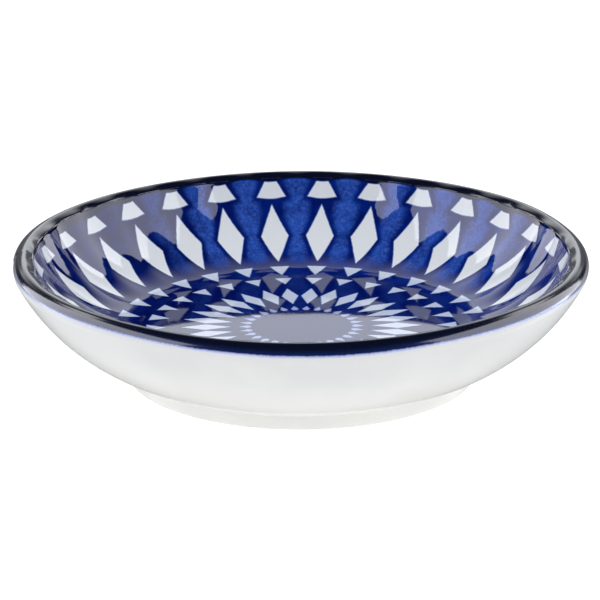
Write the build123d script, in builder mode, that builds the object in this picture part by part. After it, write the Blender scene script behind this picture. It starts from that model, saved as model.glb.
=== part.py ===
from build123d import *
import os
from math import atan2, cos, degrees, radians, sin, sqrt

os.makedirs("parts", exist_ok=True)

# A small round porcelain dish, in millimetres. It stands on Z = 0 with its axis on Z.

# Overall size and the round lip
rim_diameter = 100.0
dish_height = 22.0
lip_radius = 2.0

# Flat floor of the well, set in from the rim, and the clay under it
well_inset = 22.0
floor_thickness = 4.0

# Foot ring: set in from the rim, with a hollow that goes on up into the bowl
foot_inset = 19.5
foot_width = 4.2
foot_step = 2.5
hollow_rise = 1.5
foot_edge_round = 0.7

# Lean of the outside under the lip, measured from upright
wall_lean = 28.0

# Glaze on every face but the foot's bare edge, whose height is set here
glaze_thickness = 0.3
bare_edge_height = 0.9

# Near-black band over the lip, between two directions seen from the lip's centre
band_inner_angle = 143.0
band_outer_angle = -4.0

# White figures: copies in each ring, and the turn of the whole pattern
figure_count = 30
pattern_turn = 1.0

# Outlines of the white figures, from the rim inwards. A row holds a place and a half width.
# Places on the wall are shares of the way from the well's edge to the band.
# Places on the floor are shares of the well's radius.
# Half widths are shares of half the spacing of the copies at that place.
wall_figure_shares = {
    "rim_trapezoids": [(0.99, 0.22), (0.92, 0.56)],
    "wall_diamonds": [(0.885, 0.0), (0.64, 0.60), (0.335, 0.0)],
    "well_triangles": [(0.24, 0.49), (0.055, 0.0)],
}
floor_figure_shares = {
    "floor_triangles": [(0.965, 0.52), (0.845, 0.0)],
    "floor_diamonds": [(0.745, 0.0), (0.60, 0.82), (0.445, 0.0)],
    "centre_wedges": [(0.387, 0.0), (0.34, 0.60), (0.318, 0.34)],
}

# Levels and radii that follow from the sizes above
rim_radius = rim_diameter / 2
well_radius = rim_radius - well_inset
foot_radius = rim_radius - foot_inset
foot_inner_radius = foot_radius - foot_width
hollow_level = foot_step + hollow_rise
floor_level = hollow_level + floor_thickness
lip_r = rim_radius - lip_radius
lip_z = dish_height - lip_radius

# The inside of the wall is one arc, tangent to the floor and to the lip
wall_run = lip_r - well_radius
wall_rise = lip_z - floor_level
inside_radius = (wall_run**2 + wall_rise**2 - lip_radius**2) / (2 * (wall_rise + lip_radius))
inside_z = floor_level + inside_radius
inside_end_angle = degrees(atan2(lip_z - inside_z, wall_run))

# The outside is one arc, tangent to the lip at its lean and ending on the foot
lean_r = cos(radians(wall_lean))
lean_z = -sin(radians(wall_lean))
span_r = lip_r + lip_radius * lean_r - foot_radius
span_z = lip_z + lip_radius * lean_z - foot_step
outside_radius = (span_r**2 + span_z**2) / (2 * (span_r * lean_r + span_z * lean_z))
outside_r = lip_r + (lip_radius - outside_radius) * lean_r
outside_z = lip_z + (lip_radius - outside_radius) * lean_z

# The wall's figures end where the band begins
band_edge_r = lip_r + lip_radius * cos(radians(band_inner_angle))


# Level of the outside at a radius, a skin's depth inside the glazed face
def outside_level(radius, skin):
    return outside_z - sqrt((outside_radius - skin) ** 2 - (radius - outside_r) ** 2)


# Arc of the inside, from the floor up to the lip
def inside_arc(skin):
    return CenterArc((well_radius, inside_z), inside_radius + skin, -90, 90 + inside_end_angle)


# Arc round the lip between two directions
def lip_arc(skin, start_angle, end_angle):
    return CenterArc((lip_r, lip_z), lip_radius - skin, start_angle, end_angle - start_angle)


# Arc of the outside, from the lip down to a radius near the foot
def outside_arc(skin, end_radius):
    drop = outside_level(end_radius, skin) - outside_z
    end_angle = degrees(atan2(drop, end_radius - outside_r))
    return CenterArc((outside_r, outside_z), outside_radius - skin, -wall_lean, end_angle + wall_lean)


# The clay lies one glaze thickness inside every glazed face
clay_foot_radius = foot_radius - glaze_thickness
clay_foot_inner_radius = foot_inner_radius + glaze_thickness
clay_hollow_level = hollow_level + glaze_thickness
foot_seat_level = outside_level(clay_foot_radius, glaze_thickness)
lip_inner_angle = 180 + inside_end_angle

# Bowl of white porcelain: floor, wall and lip
with BuildPart() as bowl_body:
    with BuildSketch(Plane.XZ):
        with BuildLine():
            floor_top = Line(
                (0, floor_level - glaze_thickness), (well_radius, floor_level - glaze_thickness)
            )
            inside_arc(glaze_thickness)
            lip_arc(glaze_thickness, lip_inner_angle, -wall_lean)
            under_wall = outside_arc(glaze_thickness, clay_foot_radius)
            Polyline(
                under_wall @ 1,
                (clay_foot_inner_radius, foot_seat_level),
                (clay_foot_inner_radius, clay_hollow_level),
                (0, clay_hollow_level),
                floor_top @ 0,
            )
        make_face()
    revolve(axis=Axis.Z)
bowl_body.part.label = "bowl_body"
export_step(bowl_body.part, "parts/bowl_body.step")

# Foot ring under the bowl, with its bare bearing edge rounded
with BuildPart() as foot_ring:
    with BuildSketch():
        Circle(clay_foot_radius)
        Circle(clay_foot_inner_radius, mode=Mode.SUBTRACT)
    extrude(amount=foot_seat_level)
    fillet(foot_ring.edges().group_by(Axis.Z)[0], radius=foot_edge_round)
foot_ring.part.label = "foot_ring"
export_step(foot_ring.part, "parts/foot_ring.step")

# Cobalt band over the lip
with BuildPart() as rim_band:
    with BuildSketch(Plane.XZ):
        with BuildLine():
            band_face = lip_arc(0, band_inner_angle, band_outer_angle)
            band_back = lip_arc(glaze_thickness, band_inner_angle, band_outer_angle)
            Line(band_face @ 0, band_back @ 0)
            Line(band_face @ 1, band_back @ 1)
        make_face()
    revolve(axis=Axis.Z)
rim_band.part.label = "rim_band"
export_step(rim_band.part, "parts/rim_band.step")

# Clear glaze outside, from the band down to the bare edge of the foot
with BuildPart() as outer_glaze:
    with BuildSketch(Plane.XZ):
        with BuildLine():
            face_lip = lip_arc(0, band_outer_angle, -wall_lean)
            back_lip = lip_arc(glaze_thickness, band_outer_angle, -wall_lean)
            face_wall = outside_arc(0, foot_radius)
            back_wall = outside_arc(glaze_thickness, clay_foot_radius)
            Line(face_lip @ 0, back_lip @ 0)
            Polyline(
                face_wall @ 1,
                (foot_radius, bare_edge_height),
                (clay_foot_radius, bare_edge_height),
                back_wall @ 1,
            )
        make_face()
    revolve(axis=Axis.Z)
outer_glaze.part.label = "outer_glaze"
export_step(outer_glaze.part, "parts/outer_glaze.step")

# Clear glaze in the hollow of the foot
with BuildPart() as base_glaze:
    with BuildSketch(Plane.XZ):
        with BuildLine():
            Polyline(
                (0, hollow_level),
                (foot_inner_radius, hollow_level),
                (foot_inner_radius, bare_edge_height),
                (clay_foot_inner_radius, bare_edge_height),
                (clay_foot_inner_radius, clay_hollow_level),
                (0, clay_hollow_level),
                close=True,
            )
        make_face()
    revolve(axis=Axis.Z)
base_glaze.part.label = "base_glaze"
export_step(base_glaze.part, "parts/base_glaze.step")


# Glaze of the inside up to the band, before the white figures are let in
with BuildPart() as lining_blank:
    with BuildSketch(Plane.XZ):
        with BuildLine():
            floor_face = Line((0, floor_level), (well_radius, floor_level))
            floor_back = Line(
                (0, floor_level - glaze_thickness), (well_radius, floor_level - glaze_thickness)
            )
            inside_arc(0)
            inside_arc(glaze_thickness)
            edge_face = lip_arc(0, lip_inner_angle, band_inner_angle)
            edge_back = lip_arc(glaze_thickness, lip_inner_angle, band_inner_angle)
            Line(floor_face @ 0, floor_back @ 0)
            Line(edge_face @ 1, edge_back @ 1)
        make_face()
    revolve(axis=Axis.Z)


# Corners of one figure, symmetric about the X axis, from its places and half widths
def figure_corners(rows):
    half_spacing = 180 / figure_count
    angles = [radians(width_share * half_spacing) for place, width_share in rows]
    near_side = [(row[0] * cos(a), row[0] * sin(a)) for row, a in zip(rows, angles)]
    far_side = [(x, -y) for x, y in near_side if y > 0]
    return near_side + far_side[::-1]


# Upright prisms of one ring of figures, which cut the figures out of the glaze
def figure_prisms(rows):
    with BuildPart() as prisms:
        with BuildSketch():
            with PolarLocations(0, figure_count, start_angle=pattern_turn):
                Polygon(*figure_corners(rows))
        extrude(amount=dish_height)
    return prisms.part


wall_span = band_edge_r - well_radius
figure_rings = {}
for name, rows in wall_figure_shares.items():
    figure_rings[name] = figure_prisms([(well_radius + p * wall_span, w) for p, w in rows])
for name, rows in floor_figure_shares.items():
    figure_rings[name] = figure_prisms([(p * well_radius, w) for p, w in rows])

# White figures: each ring is one node of separate solids, flush with the blue glaze
for name, prisms in figure_rings.items():
    with BuildPart() as figure_ring:
        add(lining_blank.part)
        add(prisms, mode=Mode.INTERSECT)
    figure_ring.part.label = name
    export_step(figure_ring.part, f"parts/{name}.step")

# Deep blue glaze of the inside, with an opening for every white figure
with BuildPart() as blue_lining:
    add(lining_blank.part)
    for prisms in figure_rings.values():
        add(prisms, mode=Mode.SUBTRACT)
blue_lining.part.label = "blue_lining"
export_step(blue_lining.part, "parts/blue_lining.step")
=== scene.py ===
"""A small glazed dish: deep blue inside with rings of white figures, a dark band over the lip, white outside.

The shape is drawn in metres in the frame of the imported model. Every glaze is a closed shell that is spun
from an outline of lines and arcs, and the figures are worked out in the glaze's material from the distance
to the dish's axis and the angle round it.
"""

import logging
import math
from dataclasses import asdict, dataclass
from functools import partial, reduce

import bmesh
import bpy
from mathutils import Matrix, Vector

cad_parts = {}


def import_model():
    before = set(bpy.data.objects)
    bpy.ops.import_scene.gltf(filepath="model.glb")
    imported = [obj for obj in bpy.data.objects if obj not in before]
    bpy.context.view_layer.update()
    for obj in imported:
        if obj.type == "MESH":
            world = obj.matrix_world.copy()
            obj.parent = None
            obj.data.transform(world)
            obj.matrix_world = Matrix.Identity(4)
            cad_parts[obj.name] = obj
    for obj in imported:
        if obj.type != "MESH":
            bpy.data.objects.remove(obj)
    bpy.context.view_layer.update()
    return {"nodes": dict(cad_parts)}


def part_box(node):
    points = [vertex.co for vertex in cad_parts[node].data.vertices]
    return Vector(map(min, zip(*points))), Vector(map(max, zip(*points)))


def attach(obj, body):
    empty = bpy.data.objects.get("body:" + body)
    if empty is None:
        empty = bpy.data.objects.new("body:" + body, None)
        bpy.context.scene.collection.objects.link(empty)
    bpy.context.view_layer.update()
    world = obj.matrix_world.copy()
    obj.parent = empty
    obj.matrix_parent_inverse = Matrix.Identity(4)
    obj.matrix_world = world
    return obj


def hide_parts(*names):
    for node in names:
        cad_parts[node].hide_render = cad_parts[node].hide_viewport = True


LOG = logging.getLogger("soy_dish")

MM = 0.001
TURN = 2 * math.pi
AXIS_Z = (0.0, 0.0, 1.0)
ORIGIN = (0.0, 0.0, 0.0)
FLOAT = "NodeSocketFloat"
VECTOR = "NodeSocketVector"

Colour = tuple[float, float, float]
Material = bpy.types.Material
Piece = bpy.types.Object
Socket = bpy.types.NodeSocket
Sockets = bpy.types.bpy_prop_collection

# Levels between which a value turns, and where they aren't 0 and 1, the results at those levels
Ramp = tuple[float, ...]


def spot(radius: float, level: float) -> Vector:
    """Point or direction in the half section, which lies in the XZ plane."""
    return Vector((radius, 0.0, level))


@dataclass
class Section:
    """Half section of the dish, with the same sizes as its construction."""

    rim_radius: float
    height: float
    lip_radius: float = 2.0 * MM
    well_inset: float = 22.0 * MM
    floor_thickness: float = 4.0 * MM
    foot_inset: float = 19.5 * MM
    foot_width: float = 4.2 * MM
    foot_step: float = 2.5 * MM
    foot_edge_round: float = 0.7 * MM
    hollow_rise: float = 1.5 * MM
    wall_lean: float = math.radians(28.0)
    glaze: float = 0.3 * MM
    band_inner_angle: float = math.radians(143.0)
    band_outer_angle: float = math.radians(-4.0)

    def __post_init__(self) -> None:
        """Work out the levels, radii and arcs that follow from the sizes."""
        self.well_radius = self.rim_radius - self.well_inset
        self.foot_radius = self.rim_radius - self.foot_inset
        self.foot_inner_radius = self.foot_radius - self.foot_width
        self.hollow_level = self.foot_step + self.hollow_rise
        self.floor_level = self.hollow_level + self.floor_thickness
        self.lip_centre = spot(self.rim_radius - self.lip_radius, self.height - self.lip_radius)
        self.band_edge_radius = self.lip_centre.x + self.lip_radius * math.cos(self.band_inner_angle)

        # The inside of the wall is one arc, tangent to the floor and to the lip
        run = self.lip_centre.x - self.well_radius
        rise = self.lip_centre.z - self.floor_level
        self.inside_radius = (run**2 + rise**2 - self.lip_radius**2) / (2 * (rise + self.lip_radius))
        self.inside_centre = spot(self.well_radius, self.floor_level + self.inside_radius)
        reach = self.lip_centre - self.inside_centre
        self.inside_end_angle = math.atan2(reach.z, reach.x)
        self.inside_sweep = math.pi / 2 + self.inside_end_angle
        self.inside_end_radius = self.inside_centre.x + self.inside_radius * math.cos(self.inside_end_angle)

        # The outside is one arc that leaves the lip at its lean and ends on the foot
        lean = spot(math.cos(self.wall_lean), -math.sin(self.wall_lean))
        span = self.lip_centre + self.lip_radius * lean - spot(self.foot_radius, self.foot_step)
        self.outside_radius = span.length_squared / (2 * span.dot(lean))
        self.outside_centre = self.lip_centre + (self.lip_radius - self.outside_radius) * lean

    def lip_point(self, angle: float, skin: float = 0.0) -> Vector:
        """Point of the lip in a direction from its centre, a skin's depth under the glazed face."""
        return self.lip_centre + (self.lip_radius - skin) * spot(math.cos(angle), math.sin(angle))

    def outside_end_angle(self, skin: float, end_radius: float) -> float:
        """Direction from the outside's centre to where its arc meets a radius.

        Args:
            skin: Depth of the arc under the glazed face.
            end_radius: Radius at which the arc ends.

        Returns:
            The angle in radians, from +X towards +Z.
        """
        reach = end_radius - self.outside_centre.x
        return -math.acos(reach / (self.outside_radius - skin))

    def outside_end_level(self, skin: float, end_radius: float) -> float:
        """Height at which the arc of the outside meets a radius.

        Args:
            skin: Depth of the arc under the glazed face.
            end_radius: Radius at which the arc ends.

        Returns:
            The height in metres.
        """
        angle = self.outside_end_angle(skin, end_radius)
        return self.outside_centre.z + (self.outside_radius - skin) * math.sin(angle)

    def surface_length(self, radius: float) -> float:
        """Way along the inside from the centre of the floor to a radius.

        Args:
            radius: Distance from the dish's axis.

        Returns:
            The length along the floor and up the wall.
        """
        beyond = max(0.0, radius - self.well_radius)
        return min(radius, self.well_radius) + self.inside_radius * math.asin(beyond / self.inside_radius)


def smooth_share(value: float, start: float, end: float) -> float:
    """Share of the way from a start to an end, with soft ends.

    Args:
        value: Place to look at.
        start: Place at which the share is 0.
        end: Place at which it is 1.

    Returns:
        The share, from 0 to 1.
    """
    share = min(max((value - start) / (end - start), 0.0), 1.0)
    return share * share * (3.0 - 2.0 * share)


class Outline:
    """A chain of edges in the XZ plane that is spun round Z into a shell."""

    weld: float = 0.002 * MM

    def __init__(self, start: Vector) -> None:
        """Start the outline at one point."""
        self.mesh = bmesh.new()
        self.tip = bmesh.ops.create_vert(self.mesh, co=start)["vert"][0]

    def line(self, end: Vector, steps: int = 1) -> None:
        """Draw a straight run from the tip.

        Args:
            end: Point at which the run ends.
            steps: Number of edges in the run.
        """
        start = self.tip.co.copy()
        for step in range(1, steps + 1):
            self.tip = bmesh.ops.extrude_vert_indiv(self.mesh, verts=[self.tip])["verts"][0]
            self.tip.co = start.lerp(end, step / steps)

    def arc(self, centre: Vector, angle: float, steps: int) -> None:
        """Draw an arc from the tip.

        Args:
            centre: Centre of the arc.
            angle: Angle of the arc, positive from +X towards +Z.
            steps: Number of edges in the arc.
        """
        last = self.turn([self.tip], centre, (0.0, -1.0, 0.0), angle, steps)
        self.tip = next(item for item in last if isinstance(item, bmesh.types.BMVert))

    def close(self) -> None:
        """Join the tip to the first point of the outline."""
        first = next(vert for vert in self.mesh.verts if len(vert.link_edges) == 1 and vert is not self.tip)
        self.mesh.edges.new((self.tip, first))

    def spin(self, columns: int, wedges: int = 16) -> bmesh.types.BMesh:
        """Turn the outline once round Z: one wedge of columns first, then copies of the wedge.

        Args:
            columns: Number of columns in the shell.
            wedges: Number of equal wedges that they are made in.

        Returns:
            The shell, with its poles and seams closed.
        """
        wedge = TURN / wedges
        for angle, steps, copy in ((wedge, columns // wedges, False), (TURN - wedge, wedges - 1, True)):
            drawn = self.mesh.verts[:] + self.mesh.edges[:] + self.mesh.faces[:]
            self.turn(drawn, ORIGIN, AXIS_Z, angle, steps, copy)
        bmesh.ops.remove_doubles(self.mesh, verts=self.mesh.verts[:], dist=self.weld)
        bmesh.ops.recalc_face_normals(self.mesh, faces=self.mesh.faces[:])
        return self.mesh

    def turn(
        self, geom: list, centre: object, axis: object, angle: float, steps: int, copy: bool = False
    ) -> list:
        """Turn what is drawn round an axis.

        Args:
            geom: Vertices, edges and faces to turn.
            centre: Point on the axis.
            axis: Direction of the axis.
            angle: Angle of the whole turn.
            steps: Number of equal steps in it.
            copy: Whether each step leaves a copy instead of edges or faces.

        Returns:
            What lies at the end of the turn.
        """
        made = bmesh.ops.spin(
            self.mesh,
            geom=geom,
            cent=centre,
            axis=axis,
            dvec=ORIGIN,
            angle=angle,
            space=Matrix.Identity(4),
            steps=steps,
            use_merge=False,
            use_normal_flip=False,
            use_duplicate=copy,
        )
        return made["geom_last"]


@dataclass(frozen=True)
class Bulge:
    """Place where the rim stands out a little from a true circle."""

    centre: float
    spread: float
    height: float

    def reach(self, angle: float) -> float:
        """Height of the bulge at an angle round the dish."""
        return self.height * math.exp(-(((angle - self.centre) / self.spread) ** 2))


@dataclass(frozen=True)
class Relief:
    """Very low waves of the hand-finished clay, which bend the reflections."""

    figure_count: int = 30
    pattern_turn: float = math.radians(1.0)
    ridge_height: float = 0.15 * MM
    ridge_start: float = 3.0 * MM
    ridge_foot: float = 8.0 * MM
    lip_wave: float = 0.06 * MM
    lip_wave_count: int = 8
    lip_tilt: float = 0.03 * MM
    front_dip: float = 0.50 * MM
    dip_spread: float = math.radians(22.0)
    flat_side: float = 0.10 * MM
    inner_bevel: float = 0.10 * MM
    outer_bevel: float = 0.16 * MM
    crest_half_width: float = math.radians(30.0)
    bevel_inner_end: float = math.radians(70.0)
    bevel_height: float = 16.0 * MM
    skin_depth: float = 1.0 * MM
    lip_reach: float = 1.01
    bulges: tuple[Bulge, ...] = (
        Bulge(math.radians(155.0), math.radians(19.0), 0.78 * MM),
        Bulge(math.radians(34.0), math.radians(13.0), 0.50 * MM),
    )

    def ridge(self, section: Section, point: Vector) -> Vector:
        """Move of a point by the low ridges that stand on the wall between the columns of figures.

        Args:
            section: Half section of the dish.
            point: Point on the inside of the dish.

        Returns:
            The move, along the smooth face's normal.
        """
        radius = math.hypot(point.x, point.y)
        if radius <= section.well_radius or radius >= section.lip_centre.x:
            return Vector()
        start = section.well_radius + self.ridge_start
        rise = smooth_share(radius, start, start + self.ridge_foot)
        fall = smooth_share(radius, section.lip_centre.x, section.band_edge_radius)
        angle = math.atan2(point.y, point.x)
        height = -self.ridge_height * rise * fall * math.cos(self.figure_count * (angle - self.pattern_turn))
        on_lip = radius > section.inside_end_radius
        centre = section.lip_centre if on_lip else section.inside_centre
        away = spot(radius, point.z) - centre
        normal = away.normalized() if on_lip else -away.normalized()
        return height * Vector((normal.x * math.cos(angle), normal.x * math.sin(angle), normal.z))

    def lip_drop(self, section: Section, point: Vector) -> Vector:
        """Move of a point by the sag and the waves of the lip, its flatter right side and its bulges.

        Args:
            section: Half section of the dish.
            point: Point on the wall or the lip.

        Returns:
            The move, down and towards the axis or away from it.
        """
        radius = math.hypot(point.x, point.y)
        near_lip = (radius - section.well_radius) / (section.rim_radius - section.well_radius)
        near_lip = min(max(near_lip, 0.0), 1.0) ** 3
        angle = math.atan2(point.y, point.x)
        wave = 0.5 - 0.5 * math.cos(self.lip_wave_count * angle)
        front = (0.5 - 0.5 * math.sin(angle)) ** 2
        dip = math.exp(-(((angle + math.pi / 2) / self.dip_spread) ** 2))
        drop = self.lip_wave * wave + self.lip_tilt * front + self.front_dip * dip
        inwards = self.flat_side * max(math.cos(angle), 0.0) ** 2
        inwards -= sum(bulge.reach(angle) for bulge in self.bulges)
        return near_lip * Vector((-inwards * math.cos(angle), -inwards * math.sin(angle), -drop))

    def lip_bevel(self, section: Section, point: Vector) -> Vector:
        """Move of a point by the bevels that leave the lip sharper at its top.

        Args:
            section: Half section of the dish.
            point: Point on the wall or the lip.

        Returns:
            The move, towards the middle of the lip or the dish.
        """
        radius = math.hypot(point.x, point.y)
        if radius <= section.well_radius:
            return Vector()
        place = spot(radius, point.z)
        away = place - section.lip_centre
        lean = math.atan2(away.x, away.z)
        share = math.sin(min(abs(lean) / self.crest_half_width, 1.0) * math.pi / 2) ** 2
        depth = section.outside_radius - (place - section.outside_centre).length
        if lean >= 0.0 or depth < self.skin_depth:
            share *= smooth_share(point.z, section.lip_centre.z - self.bevel_height, section.lip_centre.z)
            way = away.normalized() if 0.0 <= lean < math.pi / 2 else Vector((1.0, 0.0, 0.0))
            inwards = -self.outer_bevel * share * way
        elif away.length < self.lip_reach * section.lip_radius:
            share *= 1.0 - smooth_share(-lean, self.crest_half_width, self.bevel_inner_end)
            inwards = -self.inner_bevel * share * away.normalized()
        else:
            return Vector()
        return Vector((inwards.x * point.x / radius, inwards.x * point.y / radius, inwards.z))

    def shape(self, section: Section, mesh: bmesh.types.BMesh, ridged: bool) -> None:
        """Press the waves into a shell.

        Args:
            section: Half section of the dish.
            mesh: Shell to move.
            ridged: Whether the shell's inner face has the ridges of the wall.
        """
        mesh.normal_update()
        moves = []
        for vert in mesh.verts:
            move = self.lip_drop(section, vert.co) + self.lip_bevel(section, vert.co)
            if ridged and vert.normal.z > 0.0:
                move += self.ridge(section, vert.co)
            moves.append(move)
        for vert, move in zip(mesh.verts, moves):
            vert.co += move


def link(name: str, data: bpy.types.ID) -> Piece:
    """Make an object and link it to the scene.

    Args:
        name: Name of the object.
        data: Its mesh, camera or lamp.

    Returns:
        The object.
    """
    made = bpy.data.objects.new(name, data)
    bpy.context.scene.collection.objects.link(made)
    return made


def mesh_piece(name: str, mesh: bmesh.types.BMesh, material: Material) -> Piece:
    """Make an object of a mesh.

    Args:
        name: Name of the object.
        mesh: Mesh, which is used up.
        material: Material of the object.

    Returns:
        The object, linked to the scene.
    """
    data = bpy.data.meshes.new(name)
    mesh.to_mesh(data)
    mesh.free()
    data.materials.append(material)
    return link(name, data)


class NodeBoard:
    """Makes and joins the nodes of one material, world or node group."""

    def __init__(self, tree: bpy.types.NodeTree) -> None:
        """Work on a node tree."""
        self.tree = tree

    def add(self, kind: str, *sources: object, **settings: object) -> bpy.types.Node:
        """Add a node.

        Args:
            kind: Type of the node.
            sources: Outputs or values for its inputs, in order.
            settings: Properties to set on it.

        Returns:
            The node.
        """
        node = self.tree.nodes.new(kind)
        for key, value in settings.items():
            setattr(node, key, value)
        for socket, source in zip(node.inputs, sources):
            self.feed(socket, source)
        return node

    def feed(self, socket: Socket, source: object) -> None:
        """Give a socket a link or a value.

        Args:
            socket: Input to feed.
            source: An output socket, a value or a colour.
        """
        if isinstance(source, Socket):
            self.tree.links.new(source, socket)
        else:
            socket.default_value = (*source, 1.0) if isinstance(source, tuple) else source

    def math(self, operation: str, *inputs: object) -> Socket:
        """Result of a Math node."""
        return self.add("ShaderNodeMath", *inputs, operation=operation).outputs[0]

    def plus(self, *values: object) -> Socket:
        """Sum of the values."""
        return reduce(partial(self.math, "ADD"), values)

    def minus(self, value: object, less: object) -> Socket:
        """Difference of two values."""
        return self.math("SUBTRACT", value, less)

    def times(self, *values: object) -> Socket:
        """Product of the values."""
        return reduce(partial(self.math, "MULTIPLY"), values)

    def over(self, value: object, divisor: object) -> Socket:
        """Quotient of two values."""
        return self.math("DIVIDE", value, divisor)

    def most(self, *values: object) -> Socket:
        """Largest of the values."""
        return reduce(partial(self.math, "MAXIMUM"), values)

    def least(self, *values: object) -> Socket:
        """Smallest of the values."""
        return reduce(partial(self.math, "MINIMUM"), values)

    def split(self, vector: object) -> Sockets:
        """X, Y and Z parts of a vector."""
        return self.add("ShaderNodeSeparateXYZ", vector).outputs

    def length(self, x: Socket, y: Socket) -> Socket:
        """Length of the level vector that has these parts."""
        return self.math("SQRT", self.plus(self.times(x, x), self.times(y, y)))

    def ramp(self, value: Socket, low: float, high: float, start: float = 0.0, end: float = 1.0) -> Socket:
        """Turn a value smoothly from one level to another.

        Args:
            value: Value to follow.
            low: Where the turn begins.
            high: Where the turn ends.
            start: Result below the turn.
            end: Result above the turn.

        Returns:
            The smoothed result.
        """
        node = self.add("ShaderNodeMapRange", value, low, high, start, end, interpolation_type="SMOOTHSTEP")
        return node.outputs[0]

    def noise(self, vector: Socket, scale: float, detail: float = 2.0, roughness: float = 0.5) -> Socket:
        """Add a Noise texture.

        Args:
            vector: Coordinates.
            scale: Waves to the metre.
            detail: Number of finer octaves.
            roughness: Strength of the finer octaves.

        Returns:
            The grey value.
        """
        node = self.add("ShaderNodeTexNoise")
        values = {"Vector": vector, "Scale": scale, "Detail": detail, "Roughness": roughness}
        for label, source in values.items():
            self.feed(node.inputs[label], source)
        return node.outputs["Fac"]

    def sway(self, *noise: object) -> Socket:
        """Noise that swings to both sides of zero."""
        return self.minus(self.noise(*noise), 0.5)

    def mix(self, share: object, low: object, high: object) -> Socket:
        """Mix two colours.

        Args:
            share: Share of the second colour.
            low: First colour.
            high: Second colour.

        Returns:
            The mixed colour.
        """
        node = self.add("ShaderNodeMix", share, data_type="RGBA")
        self.feed(node.inputs[6], low)
        self.feed(node.inputs[7], high)
        return node.outputs[2]

    def group(self, group: bpy.types.NodeTree, **inputs: object) -> Sockets:
        """Place a node group with its own values.

        Args:
            group: Group to place.
            inputs: Values or outputs by socket name, with spaces as underscores.

        Returns:
            The outputs of the placed group.
        """
        node = self.add("ShaderNodeGroup", node_tree=group)
        for name, source in inputs.items():
            self.feed(node.inputs[name.replace("_", " ")], source)
        return node.outputs


def new_group(
    name: str, inputs: dict[str, str], outputs: tuple[str, ...]
) -> tuple[NodeBoard, Sockets, Sockets]:
    """Start a node group.

    Args:
        name: Name of the group.
        inputs: Socket type by input name.
        outputs: Names of the outputs, each of which is a value.

    Returns:
        The board of the group, what comes in and what goes out.
    """
    tree = bpy.data.node_groups.new(name, "ShaderNodeTree")
    for label, kind in inputs.items():
        tree.interface.new_socket(name=label, in_out="INPUT", socket_type=kind)
    for label in outputs:
        tree.interface.new_socket(name=label, in_out="OUTPUT", socket_type=FLOAT)
    board = NodeBoard(tree)
    return board, board.add("NodeGroupInput").outputs, board.add("NodeGroupOutput").inputs


@dataclass(frozen=True)
class Figure:
    """One white figure of a ring, measured from the floor's centre along the surface."""

    outer: float
    inner: float
    widest: float
    half_width: float
    outer_half_width: float
    inner_half_width: float


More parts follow.
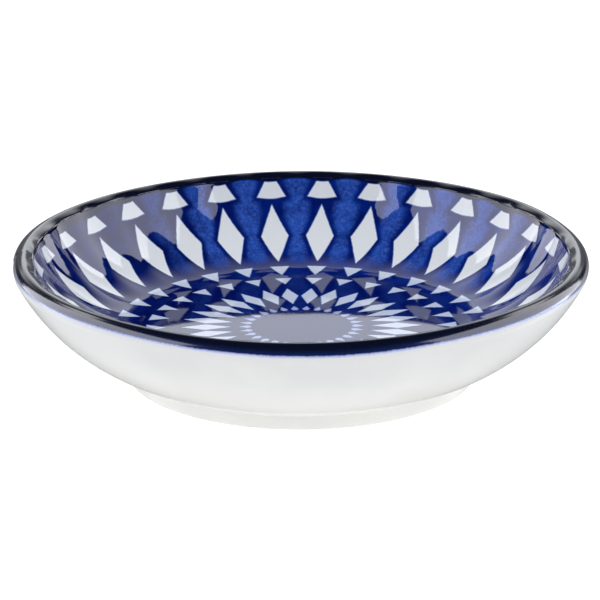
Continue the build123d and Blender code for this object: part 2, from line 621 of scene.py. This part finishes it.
class GlazeGroups:
    """Node groups that the glazes share."""

    steepest_sine: float = 0.999
    ripple_scale: float = 260.0
    pinhole_scale: float = 2200.0
    pinhole_height: float = 0.06
    roughness_ramp: Ramp = (0.3, 0.75, 0.6, 1.4)

    def __init__(self, section: Section, count: int, turn: float) -> None:
        """Build the groups.

        Args:
            section: Half section of the dish.
            count: Copies of each figure in a ring.
            turn: Angle of the first copy.
        """
        self.section = section
        self.place = self.make_place(count, turn)
        self.figure = self.make_figure()
        self.skin = self.make_skin()

    def make_place(self, count: int, turn: float) -> bpy.types.NodeTree:
        """Group that tells where a point lies in the pattern.

        Args:
            count: Copies of each figure in a ring.
            turn: Angle of the first copy.

        Returns:
            The group, which gives the way along the surface, the distance from the nearest column of
            figures, and that distance as a share of half the spacing.
        """
        outputs = ("Along", "Aside", "Share")
        board, given, result = new_group("place_in_pattern", {"Position": VECTOR}, outputs)
        well_radius, arc_radius = self.section.well_radius, self.section.inside_radius
        x, y, _ = board.split(given["Position"])
        radius = board.length(x, y)
        beyond = board.most(board.minus(radius, well_radius), 0.0)
        sine = board.least(board.over(beyond, arc_radius), self.steepest_sine)
        climbed = board.times(board.math("ARCSINE", sine), arc_radius)
        half_spacing = math.pi / count
        folded = board.math("PINGPONG", board.minus(board.math("ARCTAN2", y, x), turn), half_spacing)
        board.feed(result["Along"], board.plus(board.least(radius, well_radius), climbed))
        board.feed(result["Aside"], board.times(folded, radius))
        board.feed(result["Share"], board.over(folded, half_spacing))
        return board.tree

    def make_figure(self) -> bpy.types.NodeTree:
        """Group that measures how far inside one figure a point lies.

        Returns:
            The group, whose result is below zero outside the figure.
        """
        sizes = ("Outer", "Inner", "Widest", "Half Width", "Outer Half Width", "Inner Half Width")
        inputs = dict.fromkeys(("Along", "Aside", *sizes), FLOAT)
        board, given, result = new_group("white_figure", inputs, ("Depth",))
        along, outer, inner = given["Along"], given["Outer"], given["Inner"]
        outer_side = self.edge(board, given, outer, given["Outer Half Width"])
        inner_side = self.edge(board, given, inner, given["Inner Half Width"])
        side = board.minus(board.least(outer_side, inner_side), given["Aside"])
        depth = board.least(side, board.minus(outer, along), board.minus(along, inner))
        board.feed(result["Depth"], depth)
        return board.tree

    def edge(self, board: NodeBoard, given: Sockets, end: Socket, end_half_width: Socket) -> Socket:
        """Half width that a straight edge of a figure gives at a point.

        Args:
            board: Board of the group.
            given: What comes into the group.
            end: Place at which the edge ends.
            end_half_width: Half width at the end.

        Returns:
            The half width, which goes on past the end.
        """
        widest, half_width = given["Widest"], given["Half Width"]
        share = board.over(board.minus(given["Along"], widest), board.minus(end, widest))
        change = board.minus(end_half_width, half_width)
        return board.plus(half_width, board.times(board.most(share, 0.0), change))

    def make_skin(self) -> bpy.types.NodeTree:
        """Group for the skin of a fired glaze.

        Returns:
            The group, which gives the height of its faint ripple and pinholes, and its roughness.
        """
        inputs = {"Position": VECTOR, "Mean Roughness": FLOAT}
        board, given, result = new_group("glaze_skin", inputs, ("Height", "Roughness"))
        ripple = board.noise(given["Position"], self.ripple_scale)
        pinholes = board.noise(given["Position"], self.pinhole_scale, 3.0)
        board.feed(result["Height"], board.plus(ripple, board.times(pinholes, self.pinhole_height)))
        rough = board.times(board.ramp(pinholes, *self.roughness_ramp), given["Mean Roughness"])
        board.feed(result["Roughness"], rough)
        return board.tree


class Finish:
    """Start of every material: a Principled shader on Object coordinates."""

    glaze_ior: float = 1.5
    satin_roughness: float = 0.16
    satin_specular: float = 0.04

    def __init__(self, name: str) -> None:
        """Make the material.

        Args:
            name: Name of the material.
        """
        self.material = bpy.data.materials.new(name)
        self.material.use_nodes = True
        self.board = NodeBoard(self.material.node_tree)
        self.shader = self.material.node_tree.nodes["Principled BSDF"]
        self.position = self.board.add("ShaderNodeTexCoord").outputs["Object"]

    def feed(self, label: str, source: object) -> None:
        """Give an input of the shader a link, a value or a colour."""
        self.board.feed(self.shader.inputs[label], source)

    def bump(self, height: Socket, distance: float) -> None:
        """Feed a height to the shader's normal.

        Args:
            height: Height from 0 to 1.
            distance: Real height of 1, in metres.
        """
        node = self.board.add("ShaderNodeBump")
        node.inputs["Distance"].default_value = distance
        self.board.feed(node.inputs["Height"], height)
        self.feed("Normal", node.outputs[0])

    def skin(self, groups: GlazeGroups, roughness: float, ripple: float, marks: object = 0.0) -> None:
        """Give the material the skin of a fired glaze.

        Args:
            groups: Shared node groups.
            roughness: Mean roughness.
            ripple: Height of the ripple, in metres.
            marks: Height of other marks, as a share of the ripple.
        """
        skin = self.board.group(groups.skin, Position=self.position, Mean_Roughness=roughness)
        self.feed("Roughness", skin["Roughness"])
        self.bump(self.board.plus(skin["Height"], marks), ripple)
        self.feed("IOR", self.glaze_ior)

    def satin_skin(self, groups: GlazeGroups, ripple: float) -> None:
        """Give the material the quieter skin of the glazes outside the dish."""
        self.skin(groups, self.satin_roughness, ripple)
        self.feed("Specular IOR Level", self.satin_specular)


@dataclass
class BlueGlaze:
    """Deep blue glaze with white figures, mottled lighter between the columns on the wall."""

    section: Section
    groups: GlazeGroups
    figures: list[Figure]
    navy: Colour = (0.001, 0.008, 0.125)
    floor_blue: Colour = (0.001, 0.016, 0.205)
    # painted shade: a darker blue laid on the floor and towards the left
    deep_navy: Colour = (0.0004, 0.0006, 0.045)
    wash_blue: Colour = (0.017, 0.078, 0.44)
    speckle_blue: Colour = (0.07, 0.14, 0.56)
    bleed_blue: Colour = (0.13, 0.25, 0.62)
    edge_black: Colour = (0.001, 0.005, 0.05)
    white: Colour = (0.79, 0.83, 0.89)
    floor_white: Colour = (0.59, 0.655, 0.805)
    centre_white: Colour = (0.38, 0.43, 0.70)
    roughness: float = 0.045
    ripple: float = 0.004 * MM
    waver_scale: float = 1300.0
    waver: float = 0.16 * MM
    edge_blur: float = 0.11 * MM
    bleed_ramp: Ramp = (-0.24 * MM, 0.0, 0.0, 0.75)
    dark_edge: float = 1.0 * MM
    cloud_scale: float = 380.0
    grain_scale: float = 1700.0
    ground_ramp: Ramp = (0.3, 0.7)
    wash_ramp: Ramp = (0.3, 0.68, 0.45, 1.0)
    speckle_ramp: Ramp = (0.40, 0.75, 0.0, 0.75)
    # where the painted shade lies: on the floor and towards the left
    floor_ramp: Ramp = (-2.0 * MM, 4.0 * MM, 0.5, 1.0)
    left_ramp: Ramp = (-25.0 * MM, 0.0, 0.5, 1.0)
    halo_ramp: Ramp = (0.35 * MM, 1.6 * MM)
    gap_ramp: Ramp = (0.32, 0.78)
    wash_inset: float = 4.0 * MM
    wash_climb: float = 5.0 * MM
    wash_end_ramp: Ramp = (-1.0 * MM, -0.1 * MM, 1.0, 0.25)
    wash_middle: float = math.radians(14.0)
    wash_side_ramp: Ramp = (math.radians(34.0), math.radians(62.0), 1.0, 0.06)
    mark_count: float = 30.0
    mark_length: float = 9.0 * MM
    mark_depth: float = 3.0

    def __post_init__(self) -> None:
        """Start the material and find where a point lies on the dish and in the pattern."""
        self.finish = Finish("blue_glaze")
        board = self.board = self.finish.board
        position = self.finish.position
        self.x, y, _ = board.split(position)
        self.turn = board.math("ARCTAN2", self.x, y)
        self.along, self.aside, self.share = board.group(self.groups.place, Position=position)
        cut = self.section
        self.above_well = board.minus(self.along, cut.surface_length(cut.well_radius))
        self.above_band = board.minus(self.along, cut.surface_length(cut.band_edge_radius))

    def build(self) -> Material:
        """Lay the colours over one another, from the plain blue to the white of the figures.

        Returns:
            The material.
        """
        board, position = self.board, self.finish.position
        cloud = board.noise(position, self.cloud_scale)
        grain = board.noise(position, self.grain_scale, 4.0, 0.7)
        depth = self.figure_depth()
        wavering = board.plus(depth, board.times(board.sway(position, self.waver_scale), self.waver))
        strength = board.times(self.wash_strength(depth), self.wash_side())
        colour = board.mix(board.ramp(cloud, *self.ground_ramp), self.navy, self.floor_blue)
        for share, over in (
            # painted shade: darker blue on the floor and towards the left
            (self.deep_share(), self.deep_navy),
            (board.times(strength, board.ramp(cloud, *self.wash_ramp)), self.wash_blue),
            (board.times(strength, board.ramp(grain, *self.speckle_ramp)), self.speckle_blue),
            (board.ramp(wavering, *self.bleed_ramp), self.bleed_blue),
            (board.ramp(self.above_band, -self.dark_edge, 0.0), self.edge_black),
            (board.ramp(wavering, -self.edge_blur, self.edge_blur), self.figure_white()),
        ):
            colour = board.mix(share, colour, over)
        self.finish.feed("Base Color", colour)
        self.finish.skin(self.groups, self.roughness, self.ripple, self.run_marks())
        return self.finish.material

    def deep_share(self) -> Socket:
        """Share of the painted shade, a darker blue on the floor and towards the left.

        Returns:
            The share, from 0 to 1.
        """
        wall = self.board.ramp(self.above_well, *self.floor_ramp)
        right = self.board.ramp(self.x, *self.left_ramp)
        return self.board.minus(1.0, self.board.times(wall, right))

    def figure_white(self) -> Socket:
        """White of the figures, greyer and bluer on the floor and most at the centre.

        Returns:
            The colour.
        """
        _, wall_diamond, well_triangle, _, floor_diamond, centre_wedge = self.figures
        off_centre = self.board.ramp(self.along, centre_wedge.outer, floor_diamond.inner)
        on_wall = self.board.ramp(self.along, well_triangle.outer, wall_diamond.inner)
        low = self.board.mix(off_centre, self.centre_white, self.floor_white)
        return self.board.mix(on_wall, low, self.white)

    def run_marks(self) -> Socket:
        """Fine marks of the glaze that ran down the wall while it melted.

        Returns:
            The height of the marks, as a share of the ripple.
        """
        board = self.board
        across = [board.times(board.math(wave, self.turn), self.mark_count) for wave in ("COSINE", "SINE")]
        place = board.add("ShaderNodeCombineXYZ", *across, board.over(self.along, self.mark_length))
        marks = board.noise(place.outputs[0], 1.0, 2.0, 0.6)
        return board.times(marks, board.ramp(self.above_well, 0.0, self.mark_length), self.mark_depth)

    def figure_depth(self) -> Socket:
        """Measure how far inside the nearest figure a point lies.

        Returns:
            The depth, which is below zero in the blue.
        """
        depths = []
        for figure in self.figures:
            sizes = {name.title(): size for name, size in asdict(figure).items()}
            placed = self.board.group(self.groups.figure, Along=self.along, Aside=self.aside, **sizes)
            depths.append(placed[0])
        return self.board.most(*depths)

    def wash_side(self) -> Socket:
        """Fade of the wash from the back and front of the dish towards its left and right.

        Returns:
            The share of the wash that is left.
        """
        board = self.board
        from_back = board.math("ABSOLUTE", board.minus(self.turn, self.wash_middle))
        nearer = board.least(from_back, board.minus(math.pi, from_back))
        return board.ramp(nearer, *self.wash_side_ramp)

    def wash_strength(self, depth: Socket) -> Socket:
        """Strength of the lighter wash, which lies on the wall between the columns of figures.

        Args:
            depth: Depth inside the nearest figure.

        Returns:
            The strength, from 0 to 1.
        """
        board = self.board
        start = self.section.surface_length(self.section.well_radius + self.wash_inset)
        return board.times(
            board.ramp(self.along, start, start + self.wash_climb),
            board.ramp(self.above_band, *self.wash_end_ramp),
            board.ramp(board.times(depth, -1.0), *self.halo_ramp),
            board.ramp(self.share, *self.gap_ramp),
        )


@dataclass(frozen=True)
class BandGlaze:
    """Near-black cobalt over the lip, with a wavering edge that bleeds into the white."""

    black: Colour = (0.0022, 0.0040, 0.017)
    thin_blue: Colour = (0.004, 0.014, 0.085)
    bleed: Colour = (0.40, 0.45, 0.74)
    white: Colour = (0.64, 0.65, 0.67)
    gloss_ior: float = 1.58
    gloss_roughness: float = 0.13
    bleed_gloss: float = 0.3
    ripple: float = 0.004 * MM
    edge_level: float = 20.27 * MM
    side_tilt: float = 0.0035
    wave: float = 0.32 * MM
    waves: float = 4.0
    drift_scale: float = 70.0
    fray: float = 0.16 * MM
    fray_scale: float = 1700.0
    bleed_ramp: Ramp = (-0.45 * MM, -0.12 * MM)
    edge_ramp: Ramp = (-0.16 * MM, 0.16 * MM)
    thin_ramp: Ramp = (0.0, 1.1 * MM, 1.0, 0.0)
    inside_ramp: Ramp = (0.0, 0.3 * MM, 1.0, 0.0)

    def build(self, section: Section, groups: GlazeGroups) -> Material:
        """Make the material.

        Args:
            section: Half section of the dish.
            groups: Shared node groups.

        Returns:
            The material.
        """
        finish = Finish("band_glaze")
        board = finish.board
        x, y, z = board.split(finish.position)
        turn = board.math("ARCTAN2", x, board.times(y, -1.0))
        above_edge = board.plus(
            z,
            board.times(board.math("COSINE", board.times(turn, self.waves)), self.wave),
            board.times(x, self.side_tilt),
            board.times(board.sway(finish.position, self.drift_scale, 1.0), self.wave),
            board.times(board.sway(finish.position, self.fray_scale, 3.0, 0.7), 2.0 * self.fray),
            -self.edge_level,
        )
        low = board.ramp(above_edge, *self.bleed_ramp)
        high = board.ramp(above_edge, *self.edge_ramp)
        inside = board.ramp(board.minus(board.length(x, y), section.lip_centre.x), *self.inside_ramp)
        dark = board.mix(board.ramp(above_edge, *self.thin_ramp), self.black, self.thin_blue)
        outside = board.mix(high, board.mix(low, self.white, self.bleed), dark)
        finish.feed("Base Color", board.mix(inside, outside, self.black))
        finish.feed("Coat Weight", board.most(high, board.times(low, self.bleed_gloss), inside))
        finish.feed("Coat IOR", self.gloss_ior)
        finish.feed("Coat Roughness", self.gloss_roughness)
        finish.satin_skin(groups, self.ripple)
        return finish.material


@dataclass(frozen=True)
class WhiteGlaze:
    """Clear glaze over white porcelain, a little bluish at the wall and warmer at the foot, with painted
    shade that darkens the wall and painted light that lightens it towards the foot.
    """

    # the tints are the glaze's own; the darker wall colour is painted shade and the lighter foot colour is
    # painted light
    cool: Colour = (0.655, 0.665, 0.67)
    warm: Colour = (0.80, 0.80, 0.78)
    warm_ramp: Ramp = (6.0 * MM, 20.0 * MM)
    drift: float = 4.0 * MM
    drift_scale: float = 60.0
    cloud_scale: float = 90.0
    cloud_ramp: Ramp = (0.25, 0.75, 0.95, 1.0)
    ripple: float = 0.006 * MM

    def build(self, groups: GlazeGroups) -> Material:
        """Make the material.

        Args:
            groups: Shared node groups.

        Returns:
            The material.
        """
        finish = Finish("white_glaze")
        board = finish.board
        drift = board.times(board.noise(finish.position, self.drift_scale), self.drift)
        level = board.plus(board.split(finish.position)[2], drift)
        # painted light and shade: a darker bluish white on the wall turns to a lighter, warmer white towards
        # the foot
        tint = board.mix(board.ramp(level, *self.warm_ramp), self.warm, self.cool)
        cloud = board.ramp(board.noise(finish.position, self.cloud_scale, 3.0), *self.cloud_ramp)
        clouded = board.add("ShaderNodeVectorMath", tint, cloud, operation="MULTIPLY")
        finish.feed("Base Color", clouded.outputs[0])
        finish.satin_skin(groups, self.ripple)
        return finish.material


@dataclass(frozen=True)
class BareClay:
    """Fired clay without glaze: off-white, matt and finely grained."""

    clay: Colour = (0.86, 0.86, 0.83)
    speck: Colour = (0.72, 0.70, 0.66)
    speck_scale: float = 700.0
    speck_ramp: Ramp = (0.68, 0.76, 0.0, 0.4)
    grain_scale: float = 1800.0
    grain_height: float = 0.03 * MM
    roughness_ramp: Ramp = (0.2, 0.8, 0.6, 0.85)

    def build(self) -> Material:
        """Make the material.

        Returns:
            The material.
        """
        finish = Finish("bare_clay")
        board = finish.board
        grain = board.noise(finish.position, self.grain_scale, 4.0, 0.7)
        specks = board.ramp(board.noise(finish.position, self.speck_scale, 1.0), *self.speck_ramp)
        finish.feed("Base Color", board.mix(specks, self.clay, self.speck))
        finish.feed("Roughness", board.ramp(grain, *self.roughness_ramp))
        finish.bump(grain, self.grain_height)
        return finish.material


@dataclass
class Shell:
    """One layer of the dish: what every glaze and the clay under them have in common."""

    section: Section
    relief: Relief
    columns: int = 480
    sharp_angle: float = math.radians(35.0)

    def spin(self, name: str, outline: Outline, material: Material, ridged: bool = True) -> Piece:
        """Spin an outline and press the relief into it.

        Args:
            name: Name of the piece.
            outline: Outline of the layer.
            material: Material of the piece.
            ridged: Whether the inner face has the ridges of the wall.

        Returns:
            The piece, with smooth faces and sharp corners.
        """
        mesh = outline.spin(self.columns)
        self.relief.shape(self.section, mesh, ridged)
        for face in mesh.faces:
            face.smooth = True
        for edge in mesh.edges:
            edge.smooth = len(edge.link_faces) == 2 and edge.calc_face_angle() < self.sharp_angle
        return mesh_piece(name, mesh, material)


class ClayBody(Shell):
    """White porcelain of the bowl, which the glazes cover."""

    def build(self, material: Material) -> Piece:
        """Spin the bowl.

        Args:
            material: Bare clay.

        Returns:
            The piece.
        """
        cut = self.section
        floor_level = cut.floor_level - cut.glaze
        roof_level = cut.hollow_level + cut.glaze
        outer_radius = cut.foot_radius - cut.glaze
        inner_radius = cut.foot_inner_radius + cut.glaze
        end_angle = cut.outside_end_angle(cut.glaze, outer_radius)
        outline = Outline(spot(0.0, floor_level))
        outline.line(spot(cut.well_radius, floor_level), steps=3)
        outline.arc(cut.inside_centre, cut.inside_sweep, steps=24)
        outline.arc(cut.lip_centre, -math.pi - cut.inside_end_angle - cut.wall_lean, steps=24)
        outline.arc(cut.outside_centre, end_angle + cut.wall_lean, steps=20)
        outline.line(spot(inner_radius, cut.outside_end_level(cut.glaze, outer_radius)))
        outline.line(spot(inner_radius, roof_level))
        outline.line(spot(0.0, roof_level), steps=3)
        piece = self.spin("clay_body", outline, material)
        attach(piece, "root")
        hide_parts("bowl_body")
        return piece


@dataclass
class InsideGlaze(Shell):
    """Glaze of the floor and the wall, with the white figures in it.

    A row of a figure holds the place and the half width of its outer end, of its widest place and of its
    inner end. Places on the wall are shares of the way from the floor to the band, places on the floor are
    shares of the floor's radius, and half widths are shares of half the spacing of the columns.
    """

    nodes: tuple[str, ...] = (
        "blue_lining",
        "rim_trapezoids",
        "wall_diamonds",
        "well_triangles",
        "floor_triangles",
        "floor_diamonds",
        "centre_wedges",
    )
    wall_rows: tuple[tuple[float, ...], ...] = (
        (0.99, 0.22, 0.92, 0.56, 0.92, 0.56),
        (0.885, 0.0, 0.64, 0.60, 0.335, 0.0),
        (0.24, 0.49, 0.24, 0.49, 0.055, 0.0),
    )
    floor_rows: tuple[tuple[float, ...], ...] = (
        (0.965, 0.52, 0.965, 0.52, 0.845, 0.0),
        (0.745, 0.0, 0.60, 0.82, 0.445, 0.0),
        (0.387, 0.0, 0.34, 0.60, 0.318, 0.34),
    )
    nudge: float = 0.001 * MM

    def figure(self, start: float, span: float, row: tuple[float, ...]) -> Figure:
        """Measure one figure along the surface.

        Args:
            start: Radius from which the places count.
            span: Length of which they are shares.
            row: Places and half widths of the figure.

        Returns:
            The figure, with its ends a nudge away from its widest place.
        """
        radii = [start + place * span for place in row[::2]]
        half_spacing = math.pi / self.relief.figure_count
        outer_half, half, inner_half = (r * half_spacing * share for r, share in zip(radii, row[1::2]))
        outer, widest, inner = (self.section.surface_length(radius) for radius in radii)
        return Figure(outer + self.nudge, inner - self.nudge, widest, half, outer_half, inner_half)

    def figures(self) -> list[Figure]:
        """Figures of the six rings, from the rim to the centre.

        Returns:
            The figures, measured along the surface.
        """
        well = self.section.well_radius
        wall_span = self.section.band_edge_radius - well
        on_wall = [self.figure(well, wall_span, row) for row in self.wall_rows]
        return on_wall + [self.figure(0.0, well, row) for row in self.floor_rows]

    def build(self, material: Material) -> Piece:
        """Spin the shell.

        Args:
            material: Blue glaze.

        Returns:
            The piece.
        """
        cut = self.section
        to_band = cut.band_inner_angle - cut.inside_end_angle - math.pi
        outline = Outline(spot(0.0, cut.floor_level))
        outline.line(spot(cut.well_radius, cut.floor_level), steps=12)
        outline.arc(cut.inside_centre, cut.inside_sweep, steps=60)
        outline.arc(cut.lip_centre, to_band, steps=8)
        outline.line(cut.lip_point(cut.band_inner_angle, cut.glaze))
        outline.arc(cut.lip_centre, -to_band, steps=3)
        outline.arc(cut.inside_centre, -cut.inside_sweep, steps=16)
        outline.line(spot(0.0, cut.floor_level - cut.glaze), steps=2)
        piece = self.spin("inside_glaze", outline, material)
        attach(piece, "root")
        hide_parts(*self.nodes)
        return piece


class RimBand(Shell):
    """Dark band over the lip."""

    def build(self, material: Material) -> Piece:
        """Spin the band.

        Args:
            material: Band glaze.

        Returns:
            The piece.
        """
        cut = self.section
        sweep = cut.band_inner_angle - cut.band_outer_angle
        outline = Outline(cut.lip_point(cut.band_outer_angle))
        outline.arc(cut.lip_centre, sweep, steps=64)
        outline.line(cut.lip_point(cut.band_inner_angle, cut.glaze))
        outline.arc(cut.lip_centre, -sweep, steps=16)
        outline.close()
        piece = self.spin("rim_glaze", outline, material)
        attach(piece, "root")
        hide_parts("rim_band")
        return piece


@dataclass
class OutsideGlaze(Shell):
    """Clear glaze of the outer wall and the foot's outer side."""

    tail_angle: float = math.radians(36.0)

    def build(self, material: Material) -> Piece:
        """Spin the shell.

        Args:
            material: White glaze.

        Returns:
            The piece.
        """
        cut = self.section
        clay_radius = cut.foot_radius - cut.glaze
        under_lip = -cut.wall_lean - cut.band_outer_angle
        face_end = cut.outside_end_angle(0.0, cut.foot_radius)
        back_end = cut.outside_end_angle(cut.glaze, clay_radius)
        edge_round = cut.foot_edge_round
        edge_centre = spot(clay_radius - edge_round, edge_round)
        tail = spot(math.cos(self.tail_angle), -math.sin(self.tail_angle))
        outline = Outline(cut.lip_point(cut.band_outer_angle))
        outline.arc(cut.lip_centre, under_lip, steps=12)
        outline.arc(cut.outside_centre, face_end + cut.wall_lean, steps=60)
        outline.line(spot(cut.foot_radius, edge_round), steps=4)
        outline.arc(edge_centre, -self.tail_angle, steps=6)
        outline.line(edge_centre + edge_round * tail)
        outline.arc(edge_centre, self.tail_angle, steps=3)
        outline.line(spot(clay_radius, cut.outside_end_level(cut.glaze, clay_radius)), steps=2)
        outline.arc(cut.outside_centre, -cut.wall_lean - back_end, steps=20)
        outline.arc(cut.lip_centre, -under_lip, steps=4)
        outline.close()
        piece = self.spin("outside_glaze", outline, material, ridged=False)
        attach(piece, "root")
        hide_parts("outer_glaze")
        return piece


@dataclass(frozen=True)
class View:
    """Camera of the photograph, in metres and radians."""

    elevation: float = math.radians(18.527)
    roll: float = math.radians(-0.256)
    distance: float = 624.1 * MM
    aim: tuple[float, float, float] = (-0.25 * MM, 0.0, 12.807 * MM)
    pixels_per_metre: float = 5746.6
    picture_width: float = 600.0
    sensor: float = 36.0
    nearest: float = 0.01
    farthest: float = 20.0

    def build(self) -> None:
        """Place the camera."""
        data = bpy.data.cameras.new("photo_camera")
        data.sensor_width = self.sensor
        data.lens = self.sensor * self.pixels_per_metre * self.distance / self.picture_width
        data.clip_start = self.nearest
        data.clip_end = self.farthest
        camera = link("photo_camera", data)
        back = Vector((0.0, -math.cos(self.elevation), math.sin(self.elevation)))
        place = Matrix.Translation(Vector(self.aim) + self.distance * back)
        tilt = Matrix.Rotation(math.pi / 2 - self.elevation, 4, "X")
        camera.matrix_world = place @ tilt @ Matrix.Rotation(self.roll, 4, "Z")
        bpy.context.scene.camera = camera


@dataclass(frozen=True)
class Softbox:
    """One large soft lamp that faces the dish, in metres and degrees."""

    name: str
    azimuth: float
    width: float
    height: float
    radiance: float
    level: float
    distance: float = 1.0
    tint: Colour = (0.96, 0.96, 1.0)

    def build(self) -> None:
        """Place the lamp."""
        data = bpy.data.lights.new(self.name, "AREA")
        data.shape = "RECTANGLE"
        data.size = self.width
        data.size_y = self.height
        data.energy = self.radiance * math.pi * self.width * self.height
        data.color = self.tint
        lamp = link(self.name, data)
        lamp.visible_diffuse = False
        turn = math.radians(self.azimuth)
        way = Vector((math.sin(turn), math.cos(turn), 0.0))
        place = self.distance * way + Vector((0.0, 0.0, self.level))
        facing = way.to_track_quat("Z", "Y").to_matrix().to_4x4()
        lamp.matrix_world = Matrix.Translation(place) @ facing


@dataclass(frozen=True)
class TableLight(Softbox):
    """Low lamp that stands for the lit table beside the dish."""

    height: float = 1.0
    radiance: float = 4.6
    level: float = -0.43
    distance: float = 0.8
    tint: Colour = (0.80, 0.86, 1.0)


@dataclass
class Surroundings:
    """World: a white backdrop, a bright panel behind the dish, the table's shine and a dim even fill."""

    even_light: float = 1.0
    side_light: float = 0.35
    side_ramp: Ramp = (0.05, 0.35, 1.0, 0.0)
    table_side_ramp: Ramp = (0.25, 0.75, 0.20, 1.2)
    table_ahead_ramp: Ramp = (-0.65, -0.50)
    table_under_ramp: Ramp = (-0.08, 0.0, 1.0, 0.0)
    panel_radiance: float = 2.0
    panel_tint: Colour = (0.93, 0.96, 1.0)
    panel_edge_ramp: Ramp = (0.80, 0.97)
    panel_foot_ramp: Ramp = (-0.30, 0.0, 0.3, 1.0)
    panel_steps: tuple[tuple[float, float], ...] = (
        (0.0, 0.08),
        (0.10, 0.10),
        (0.22, 0.16),
        (0.27, 1.0),
        (0.50, 0.80),
        (0.70, 0.42),
        (0.80, 0.22),
        (0.90, 0.0),
    )

    def __post_init__(self) -> None:
        """Make the world and split the direction that a ray looks in."""
        world = bpy.data.worlds.new("studio")
        bpy.context.scene.world = world
        world.use_nodes = True
        board = self.board = NodeBoard(world.node_tree)
        self.background = world.node_tree.nodes["Background"].inputs
        self.x, y, self.z = board.split(board.add("ShaderNodeTexCoord").outputs["Generated"])
        level = board.length(self.x, y)
        self.sideways = board.over(board.math("ABSOLUTE", self.x), level)
        self.backwards = board.over(y, level)

    def build(self) -> None:
        """Set the light by the direction and the kind of a ray."""
        board = self.board
        path = board.add("ShaderNodeLightPath").outputs
        mirrored = path["Is Glossy Ray"]
        strength = board.most(
            path["Is Camera Ray"],
            path["Is Transmission Ray"],
            self.panel(),
            board.times(self.table_shine(), mirrored),
            board.times(self.fill(), board.minus(1.0, mirrored)),
        )
        board.feed(self.background["Strength"], strength)
        board.feed(self.background["Color"], board.mix(mirrored, (1.0, 1.0, 1.0), self.panel_tint))

    def panel(self) -> Socket:
        """Light of the bright panel, which is brightest a little above the horizon.

        Returns:
            The strength.
        """
        steps = self.board.add("ShaderNodeValToRGB", self.z)
        elements = steps.color_ramp.elements
        for place, _ in self.panel_steps[1:-1]:
            elements.new(place)
        for element, (place, share) in zip(elements, self.panel_steps):
            element.position = place
            element.color = (share, share, share, 1.0)
        behind = self.board.ramp(self.backwards, *self.panel_edge_ramp)
        foot = self.board.ramp(self.z, *self.panel_foot_ramp)
        return self.board.times(steps.outputs[0], self.panel_radiance, behind, foot)

    def fill(self) -> Socket:
        """Even light on the matt parts, with a little more from low at the sides.

        Returns:
            The strength.
        """
        low = self.board.ramp(self.z, *self.side_ramp)
        return self.board.plus(self.board.times(low, self.x, self.x, self.side_light), self.even_light)

    def table_shine(self) -> Socket:
        """Light of the white table that a mirroring glaze sees below the horizon.

        Returns:
            The strength, which is highest beside the dish.
        """
        return self.board.times(
            self.board.ramp(self.z, *self.table_under_ramp),
            self.board.ramp(self.backwards, *self.table_ahead_ramp),
            self.board.ramp(self.sideways, *self.table_side_ramp),
        )


@dataclass(frozen=True)
class Studio:
    """White table, with a soft lamp and a low light on each side of the dish."""

    lamps: tuple[Softbox, ...] = (
        Softbox("right_softbox", azimuth=84.0, width=1.86, height=1.35, radiance=3.2, level=0.60),
        Softbox("left_softbox", azimuth=-88.0, width=2.0, height=1.45, radiance=3.5, level=0.65),
        TableLight("right_table_light", azimuth=94.0, width=1.3),
        TableLight("left_table_light", azimuth=-112.0, width=2.0),
    )
    table_reach: float = 3.0
    table_grey: Colour = (0.6, 0.6, 0.6)
    table_roughness: float = 0.9
    table_glow: float = 0.65

    def build(self) -> None:
        """Place the lamps, the table and the surroundings."""
        for lamp in self.lamps:
            lamp.build()
        self.build_table()
        Surroundings().build()

    def build_table(self) -> None:
        """Lay the white table, which keeps the dish's shadow."""
        paper = Finish("white_paper")
        paper.feed("Base Color", self.table_grey)
        paper.feed("Roughness", self.table_roughness)
        paper.feed("Specular IOR Level", 0.0)
        paper.feed("Emission Color", (1.0, 1.0, 1.0))
        paper.feed("Emission Strength", self.table_glow)
        mesh = bmesh.new()
        bmesh.ops.create_grid(mesh, x_segments=1, y_segments=1, size=self.table_reach)
        floor = mesh_piece("table", mesh, paper.material)
        floor.visible_glossy = False


def dress_construction(frame: dict, clay: bpy.types.Material, hollow: bpy.types.Material) -> None:
    """Give the carried-over pieces their materials.

    Args:
        frame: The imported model.
        clay: Bare clay.
        hollow: White glaze of the hollow.
    """
    for name, material in (("foot_ring", clay), ("base_glaze", hollow)):
        piece = frame["nodes"][name]
        piece.data.materials.clear()
        piece.data.materials.append(material)
        LOG.info("dressed %s in %s", name, material.name)


def main() -> None:
    """Build the dish, the camera and the studio."""
    logging.basicConfig(level=logging.INFO, format="%(name)s: %(message)s")
    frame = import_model()
    rim_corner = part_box("rim_band")[1]
    section = Section(rim_radius=rim_corner[0], height=rim_corner[2])
    relief = Relief()
    groups = GlazeGroups(section, relief.figure_count, relief.pattern_turn)

    white = WhiteGlaze().build(groups)
    clay = BareClay().build()
    inside = InsideGlaze(section, relief)
    pieces = [
        inside.build(BlueGlaze(section, groups, inside.figures()).build()),
        RimBand(section, relief).build(BandGlaze().build(section, groups)),
        OutsideGlaze(section, relief).build(white),
        ClayBody(section, relief).build(clay),
    ]
    for piece in pieces:
        LOG.info("built %s with %d faces", piece.name, len(piece.data.polygons))
    dress_construction(frame, clay, white)

    View().build()
    Studio().build()
    view_settings = bpy.context.scene.view_settings
    view_settings.view_transform = "Standard"


if __name__ == "__main__":
    main()
